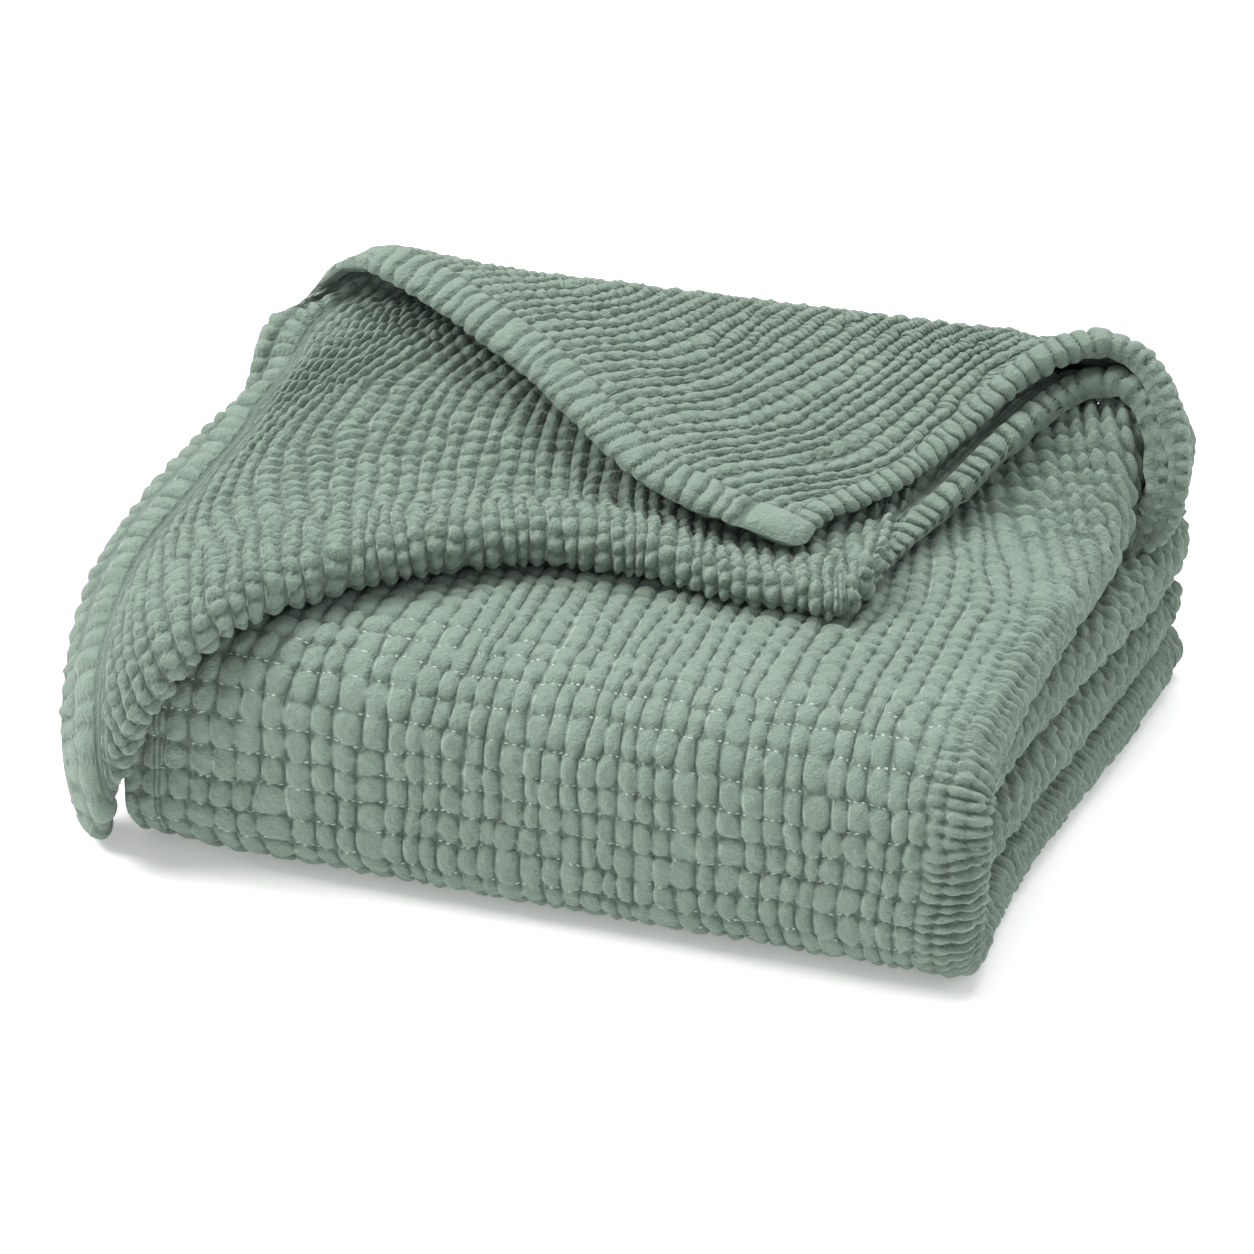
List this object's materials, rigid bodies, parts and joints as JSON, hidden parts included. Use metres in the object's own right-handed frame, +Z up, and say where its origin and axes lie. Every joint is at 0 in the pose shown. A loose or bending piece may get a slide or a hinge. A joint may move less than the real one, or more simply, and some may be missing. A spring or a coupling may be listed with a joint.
{
  "type": "folded throw blanket",
  "caption": "Puckered cotton gauze throw folded in a low bundle, with one hemmed corner turned over on top in a soft roll.",
  "frame": {"origin": "centre of the bounding box in plan, on the surface the bundle rests on", "axes": "+Z up, +X along the width of the bundle towards the end with the wide cloth loops, front roll towards -Y"},
  "size_m": [0.4764, 0.3452, 0.1877],
  "materials": {
    "gauze": "matt puckered sage green cotton gauze"
  },
  "bodies": {
    "root": {"throw": "gauze"}
  },
  "joints": []
}
